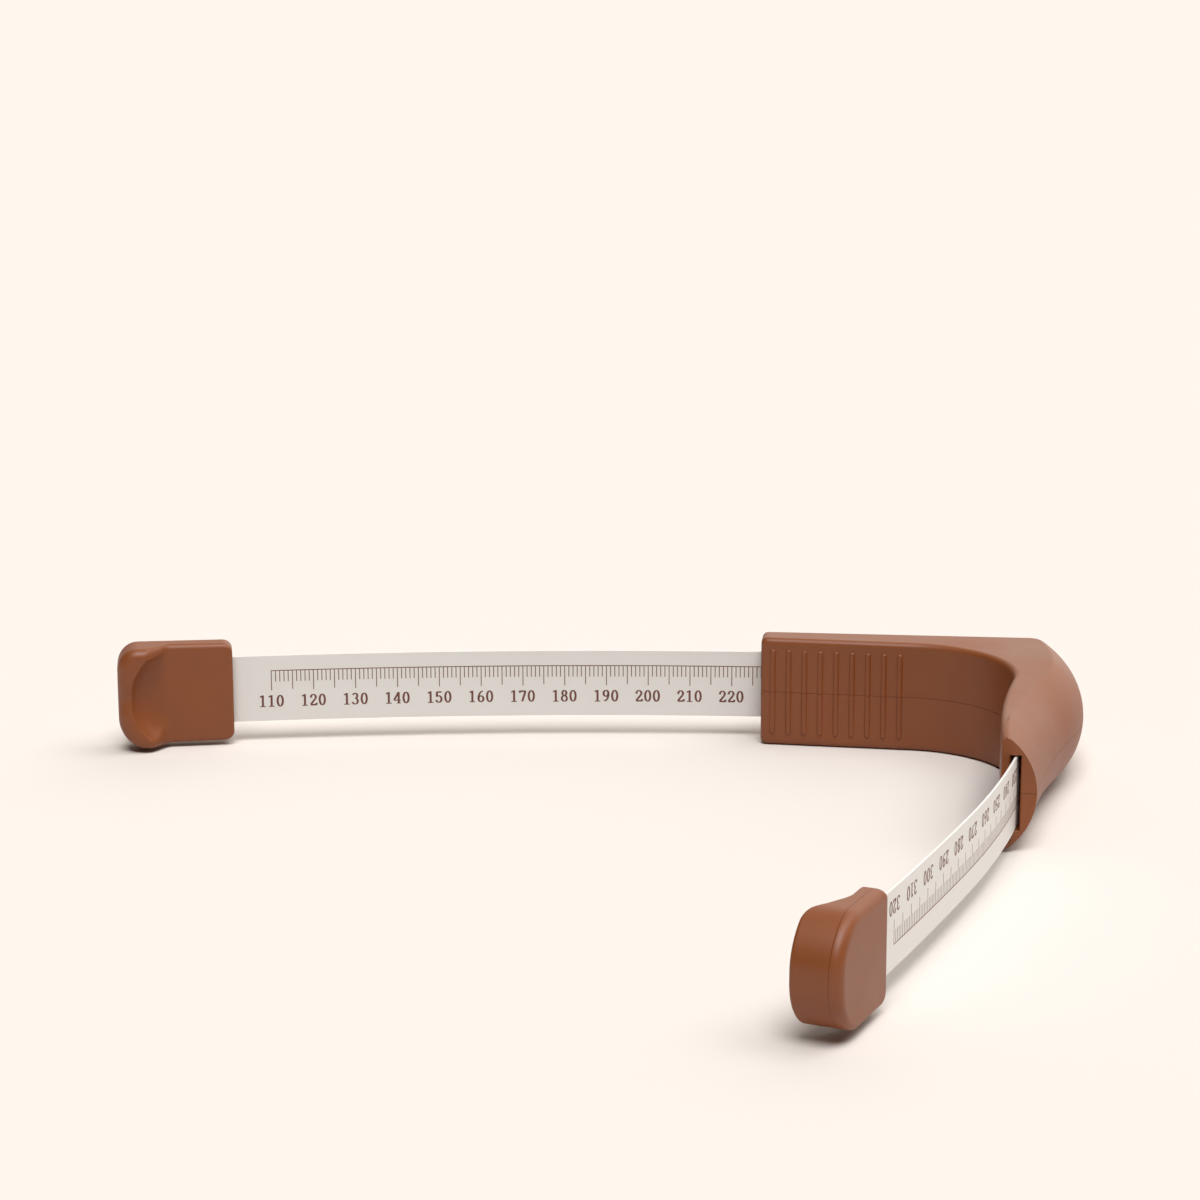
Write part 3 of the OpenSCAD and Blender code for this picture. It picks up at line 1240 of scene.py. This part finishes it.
@dataclass(frozen=True)
class PenStroke:
    """A stroke of a broad pen: thick where it runs up and down, thin where it runs across."""

    points: tuple[tuple[float, float], ...]
    thin: float = 0.075
    thick: float = 0.175

    @staticmethod
    def line(x0: float, y0: float, x1: float, y1: float, thin: float = 0.075) -> "PenStroke":
        """A straight stroke."""
        return PenStroke(((x0, y0), (x1, y1)), thin, max(thin, 0.175))

    @staticmethod
    def arc(
        x: float, y: float, rx: float, ry: float, start: float, end: float, thick: float = 0.175
    ) -> "PenStroke":
        """A stroke round part of an ellipse.

        Args:
            x: the ellipse's centre.
            y: the ellipse's centre.
            rx: its half width.
            ry: its half height.
            start: first angle, in degrees.
            end: last angle, in degrees.
            thick: the stroke's greatest width.

        Returns:
            The stroke.
        """
        steps = max(4, int(abs(end - start) / 24.0))
        angles = [math.radians(start + (end - start) * k / steps) for k in range(steps + 1)]
        points = tuple((x + rx * math.cos(a), y + ry * math.sin(a)) for a in angles)
        return PenStroke(points, 0.075, thick)

    def draw(self, mesh: bmesh.types.BMesh, corner: Vector, size: float) -> None:
        """Draw the stroke as a flat ribbon.

        Args:
            mesh: the flat print that it joins.
            corner: the digit's lower left corner.
            size: the digit's height.
        """
        spots = [Vector(p) for p in self.points]
        closed = (spots[0] - spots[-1]).length < 1e-6
        pair: list[bmesh.types.BMVert] = []
        for index, spot in enumerate(spots):
            before = spots[index - 1] if index else (spots[-2] if closed else spots[0])
            after = spots[index + 1] if index + 1 < len(spots) else (spots[1] if closed else spot)
            run = (after - before).normalized()
            half = (self.thin + (self.thick - self.thin) * abs(run.y)) / 2.0
            side = Vector((-run.y, run.x)) * half
            ends = [corner + (spot + side).to_3d() * size, corner + (spot - side).to_3d() * size]
            if not pair:
                pair = [bmesh.ops.create_vert(mesh, co=end)["vert"][0] for end in ends]
                edge = mesh.edges.new(pair)
            else:
                made = bmesh.ops.extrude_edge_only(mesh, edges=[edge])["geom"]
                fresh = [g for g in made if isinstance(g, bmesh.types.BMVert)]
                if not any(e.other_vert(fresh[0]) is pair[0] for e in fresh[0].link_edges):
                    fresh.reverse()
                for vert, end in zip(fresh, ends):
                    vert.co = end
                pair = fresh
                edge = mesh.edges.get(pair)


DIGITS: dict[str, tuple[PenStroke, ...]] = {
    "0": (PenStroke.arc(0.32, 0.5, 0.215, 0.455, 0, 360),),
    "1": (
        PenStroke.line(0.33, 0.04, 0.33, 0.99),
        PenStroke.line(0.10, 0.84, 0.31, 0.94),
        PenStroke.line(0.10, 0.04, 0.56, 0.04),
    ),
    "2": (
        PenStroke.arc(0.31, 0.72, 0.20, 0.235, 190, -35),
        PenStroke.line(0.465, 0.58, 0.09, 0.10, 0.085),
        PenStroke.line(0.07, 0.075, 0.56, 0.075, 0.13),
        PenStroke.line(0.555, 0.06, 0.575, 0.23, 0.06),
    ),
    "3": (
        PenStroke.arc(0.29, 0.745, 0.185, 0.21, 160, -80),
        PenStroke.arc(0.285, 0.285, 0.225, 0.245, 85, -165),
    ),
    "4": (
        PenStroke.line(0.42, 0.96, 0.05, 0.30, 0.07),
        PenStroke.line(0.04, 0.29, 0.60, 0.29, 0.085),
        PenStroke.line(0.43, 0.97, 0.43, 0.04),
        PenStroke.line(0.28, 0.04, 0.58, 0.04),
    ),
    "5": (
        PenStroke.line(0.14, 0.92, 0.52, 0.92, 0.12),
        PenStroke.line(0.15, 0.95, 0.12, 0.52, 0.06),
        PenStroke.arc(0.285, 0.32, 0.225, 0.28, 130, -165),
    ),
    "6": (
        PenStroke.arc(0.325, 0.295, 0.20, 0.25, 0, 360),
        PenStroke.arc(0.52, 0.38, 0.405, 0.575, 192, 96, 0.16),
    ),
    "7": (
        PenStroke.line(0.10, 0.91, 0.57, 0.91, 0.13),
        PenStroke.line(0.555, 0.90, 0.28, 0.04, 0.10),
        PenStroke.line(0.10, 0.96, 0.09, 0.77, 0.06),
    ),
    "8": (
        PenStroke.arc(0.32, 0.735, 0.165, 0.22, 0, 360),
        PenStroke.arc(0.32, 0.275, 0.21, 0.235, 0, 360),
    ),
    "9": (
        PenStroke.arc(0.315, 0.705, 0.20, 0.25, 0, 360),
        PenStroke.arc(0.12, 0.62, 0.405, 0.575, 12, -84, 0.16),
    ),
}


@dataclass(frozen=True)
class ScalePrint:
    """A millimetre scale on one face of the strip, in its own flat frame: x along, y up as read."""

    face: Face
    margin: float
    anchor_at: float
    anchor_value: int
    low: int
    high: int
    line: float = 0.2
    short_tick: float = 2.7
    mid_tick: float = 4.6
    long_tick: float = 4.85
    digit_size: float = 2.9
    digit_step: float = 2.08
    label_drop: float = 8.9
    thickness: float = 0.018

    def along(self, value: float) -> float:
        """Distance along the rail at which a value is printed."""
        return self.anchor_at + (value - self.anchor_value)

    def _bar(self, mesh: bmesh.types.BMesh, x0: float, x1: float, y0: float, y1: float) -> None:
        """Draw one filled bar."""
        steps = max(1, int((x1 - x0) / 2.0))
        made = bmesh.ops.create_grid(mesh, x_segments=steps, y_segments=1, size=0.5)
        for vert in made["verts"]:
            vert.co.x = x0 + (vert.co.x + 0.5) * (x1 - x0)
            vert.co.y = y0 + (vert.co.y + 0.5) * (y1 - y0)

    def flat(self) -> bmesh.types.BMesh:
        """The whole print laid flat, with y = 0 on its base line."""
        mesh = bmesh.new()
        half = self.line / 2.0
        self._bar(mesh, self.along(self.low) - half, self.along(self.high) + half, -half, half)
        for value in range(self.low, self.high + 1):
            drop = self.short_tick
            if value % 10 == 0:
                drop = self.long_tick
            elif value % 5 == 0:
                drop = self.mid_tick
            x = self.along(value)
            self._bar(mesh, x - half, x + half, -drop, -half)
            if value % 10 == 0:
                self._label(mesh, str(value), x)
        return mesh

    def _label(self, mesh: bmesh.types.BMesh, text: str, x: float) -> None:
        """Draw a number centred on its mark."""
        left = x - self.digit_step * len(text) / 2.0
        for index, digit in enumerate(text):
            corner = Vector((left + index * self.digit_step, -self.label_drop, 0.0))
            for stroke in DIGITS[digit]:
                stroke.draw(mesh, corner, self.digit_size)

    def build(self, strip: "ScaleStrip") -> bmesh.types.BMesh:
        """Print the scale on the strip.

        Args:
            strip: the strip that carries it.

        Returns:
            The print as thin solids on the strip's face.
        """
        mesh = self.flat()
        grown = bmesh.ops.extrude_face_region(mesh, geom=list(mesh.faces))
        for vert in (g for g in grown["geom"] if isinstance(g, bmesh.types.BMVert)):
            vert.co.z = self.thickness
        rail = strip.route.rail
        way = self.face.value
        surface = strip.thickness / 2.0 - self.thickness * 0.3
        for vert in mesh.verts:
            place = rail.at(vert.co.x)
            height = strip.mid - way * (strip.width / 2.0 - self.margin + vert.co.y)
            vert.co = place.point(way * (surface + vert.co.z), height)
        return mesh


@dataclass
class ScaleStrip:
    """The printed strip, in the lengths that lie in front of, inside and behind the guide."""

    route: StripRoute
    width: float = 16.0
    thickness: float = 0.5
    mid: float = 13.0
    inside_reach: float = 18.0
    head_reach: float = 18.0
    lap: float = 0.5
    edge: float = 0.07

    def sheet(self, start: float, end: float) -> bmesh.types.BMesh:
        """A length of strip along the rail.

        Args:
            start: distance at which it begins.
            end: distance at which it ends.

        Returns:
            The closed sheet.
        """
        rail = self.route.rail
        t, w, e = self.thickness / 2.0, self.width / 2.0, self.edge
        section = (
            (-t, e - w), (-t, w - e), (e - t, w), (t - e, w),
            (t, w - e), (t, e - w), (t - e, -w), (e - t, -w),
        )
        steps = max(2, int((end - start) / 1.5))
        return skin_of(
            [
                rail.at(start + (end - start) * k / steps).point(offset, self.mid + height)
                for offset, height in section
            ]
            for k in range(steps + 1)
        )

    def metres(self, distance: float) -> tuple[float, float, float]:
        """A point of the rail in metres, at mid height."""
        place = self.route.rail.at(distance)
        return (place.x * MM, place.y * MM, self.mid * MM)

    def build(self, palette: Palette) -> list[bpy.types.Object]:
        """Make the three lengths of strip and the two prints.

        Args:
            palette: the finishes.

        Returns:
            The pieces.
        """
        route = self.route
        toe_in = route.toe_slot_at + self.inside_reach
        pull_in = route.pull_slot_at - self.inside_reach
        toe_hold = route.toe_root_at - self.head_reach
        pull_hold = route.pull_root_at + self.head_reach
        inner_print = ScalePrint(Face.INNER, 3.7, route.toe_root_at + 9.1, 110, 110, 250)
        outer_print = ScalePrint(Face.OUTER, 4.87, route.pull_root_at - 8.4, 320, 200, 320)
        ink = palette.ink
        middle = finish_piece(
            self.sheet(toe_in - self.lap, pull_in + self.lap),
            "strip_in_guide",
            palette.bone,
        )
        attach(middle, Body.GUIDE.value)
        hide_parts("scale_strip")
        pieces = [middle]
        toe_span = (Body.TOE_HEAD, toe_in, toe_hold)
        pull_span = (Body.PULL_HEAD, pull_in, pull_hold)
        for label, mesh, material, (body, inside, hold) in (
            ("toe_arm", self.sheet(0.0, toe_in), palette.bone, toe_span),
            ("pull_arm", self.sheet(pull_in, route.end_at), palette.bone, pull_span),
            ("toe_arm_scale", inner_print.build(self), ink, toe_span),
            ("pull_arm_scale", outer_print.build(self), ink, pull_span),
        ):
            piece = finish_piece(mesh, label, material)
            self.metres(inside)
            self.metres(hold)
            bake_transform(piece)
            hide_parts("scale_strip")
            pieces.append(piece)
        return pieces


# Studio


@dataclass(frozen=True)
class Studio:
    """The pale floor, the soft lights and the camera; sizes are in metres and angles in radians."""

    floor_color: tuple[float, float, float] = (0.735, 0.680, 0.638)
    shown_color: tuple[float, float, float] = (0.984, 0.913, 0.855)
    camera_place: tuple[float, float, float] = (-0.124949, -0.735717, 0.210705)
    camera_heading: float = 1.53807
    camera_pitch: float = 0.23189
    camera_roll: float = -0.00288
    lens: float = 97.203
    sensor: float = 36.0
    room_color: tuple[float, float, float] = (1.0, 0.965, 0.89)
    bright_side: tuple[float, float, float] = (0.46, 0.84, 0.29)
    bright_fall: float = 2.8
    bright_level: float = 1.75
    key_level: float = 2.72
    key_spread: float = math.radians(32.0)
    key_travel: tuple[float, float, float] = (0.0, 0.5, -1.0)
    side_level: float = 1.15
    side_spread: float = math.radians(40.0)
    side_travel: tuple[float, float, float] = (-0.55, 0.05, -1.0)

    def floor(self) -> None:
        """Lay a plain floor that takes the object's shadow and otherwise shows one pale colour."""
        mesh = bmesh.new()
        bmesh.ops.create_grid(mesh, x_segments=1, y_segments=1, size=12.0)
        data = bpy.data.meshes.new("floor")
        mesh.to_mesh(data)
        mesh.free()
        plate = bpy.data.objects.new("floor", data)
        bpy.context.scene.collection.objects.link(plate)
        plate.location = (0.0, 0.0, -0.0001)
        made = bpy.data.materials.new("pale_floor")
        made.use_nodes = True
        made.node_tree.nodes.clear()
        sheet = NodeSheet(made.node_tree)
        matt = sheet.add("ShaderNodeBsdfDiffuse", {"Color": (*self.floor_color, 1.0)})
        out = sheet.add("ShaderNodeOutputMaterial")
        sheet.link(matt.outputs["BSDF"], out.inputs["Surface"])
        data.materials.append(made)

    def world(self) -> None:
        """Light the set from one broad bright side, and show one pale colour behind it."""
        world = bpy.data.worlds.new("soft_room")
        bpy.context.scene.world = world
        world.use_nodes = True
        world.node_tree.nodes.clear()
        sheet = NodeSheet(world.node_tree)
        path = sheet.add("ShaderNodeLightPath")
        light = sheet.add("ShaderNodeBackground", {"Color": (*self.room_color, 1.0)})
        where = sheet.add("ShaderNodeTexCoord")
        lean = sheet.add("ShaderNodeVectorMath", {1: self.bright_side}, operation="DOT_PRODUCT")
        sheet.link(where.outputs["Generated"], lean.inputs[0])
        level = lean.outputs["Value"]
        for operation, number in (
            ("MAXIMUM", 0.0),
            ("POWER", self.bright_fall),
            ("MULTIPLY", self.bright_level),
        ):
            step = sheet.add("ShaderNodeMath", {1: number}, operation=operation)
            sheet.link(level, step.inputs[0])
            level = step.outputs["Value"]
        sheet.link(level, light.inputs["Strength"])
        shown = sheet.add("ShaderNodeBackground", {"Color": (*self.shown_color, 1.0)})
        either = sheet.add("ShaderNodeMixShader")
        out = sheet.add("ShaderNodeOutputWorld")
        sheet.link(path.outputs["Is Camera Ray"], either.inputs["Fac"])
        sheet.link(light.outputs["Background"], either.inputs[1])
        sheet.link(shown.outputs["Background"], either.inputs[2])
        sheet.link(either.outputs["Shader"], out.inputs["Surface"])

    def lamp(self, name: str, level: float, spread: float, towards: Vector) -> None:
        """Hang a very distant soft lamp.

        Args:
            name: the lamp's name.
            level: its strength.
            spread: the angle that it fills.
            towards: the way that its light travels.
        """
        data = bpy.data.lights.new(name, "SUN")
        data.energy = level
        data.angle = spread
        lamp = bpy.data.objects.new(name, data)
        bpy.context.scene.collection.objects.link(lamp)
        lamp.rotation_mode = "QUATERNION"
        lamp.rotation_quaternion = towards.normalized().to_track_quat("-Z", "Y")
        lamp.location = (0.0, 0.0, 1.5)

    def camera(self) -> None:
        """Place the camera where the photograph was taken from."""
        data = bpy.data.cameras.new("camera")
        data.lens = self.lens
        data.sensor_width = self.sensor
        data.clip_end = 60.0
        camera = bpy.data.objects.new("camera", data)
        bpy.context.scene.collection.objects.link(camera)
        camera.location = self.camera_place
        look = Vector(
            (
                math.cos(self.camera_heading) * math.cos(self.camera_pitch),
                math.sin(self.camera_heading) * math.cos(self.camera_pitch),
                -math.sin(self.camera_pitch),
            )
        )
        camera.rotation_mode = "QUATERNION"
        roll = Quaternion((0.0, 0.0, 1.0), self.camera_roll)
        camera.rotation_quaternion = look.to_track_quat("-Z", "Y") @ roll
        bpy.context.scene.camera = camera

    def build(self) -> None:
        """Set the whole studio up."""
        bpy.context.scene.view_settings.view_transform = "Standard"
        self.floor()
        self.world()
        self.lamp("key", self.key_level, self.key_spread, Vector(self.key_travel))
        self.lamp("side", self.side_level, self.side_spread, Vector(self.side_travel))
        self.camera()


def head_seat(place: Place, turn: float, mirrored: bool, mid: float) -> Matrix:
    """From a head's own frame to the part's frame, in mm.

    Args:
        place: where the strip enters the head.
        turn: the heading that points away from the guide.
        mirrored: True where the inner side is on the other hand.
        mid: the height of the head's middle.

    Returns:
        The matrix.
    """
    seat = Matrix.Translation((place.x, place.y, mid)) @ Matrix.Rotation(turn, 4, "Z")
    if mirrored:
        seat = seat @ Matrix.Scale(-1.0, 4, (0.0, 1.0, 0.0))
    return seat


def main() -> None:
    """Build the gauge and its studio, and report each piece."""
    logging.basicConfig(level=logging.INFO, format="%(name)s: %(message)s")
    palette = Palette.mixed()
    route = StripRoute()
    rail = route.rail
    Studio().build()
    pieces = HeelGuide(route).build(palette)
    pieces += ScaleStrip(route).build(palette)
    toe = rail.at(route.toe_root_at)
    seat = head_seat(toe, toe.heading + math.pi, False, TOE_HEAD.mid)
    pieces += TOE_HEAD.build("toe_head", seat, Body.TOE_HEAD, palette)
    pull = rail.at(route.pull_root_at + PULL_HEAD_SHIFT)
    seat = head_seat(pull, pull.heading, True, PULL_HEAD.mid)
    pieces += PULL_HEAD.build("pull_head", seat, Body.PULL_HEAD, palette)
    for piece in pieces:
        LOG.info("%s: %d faces", piece.name, len(piece.data.polygons))


if __name__ == "__main__":
    main()
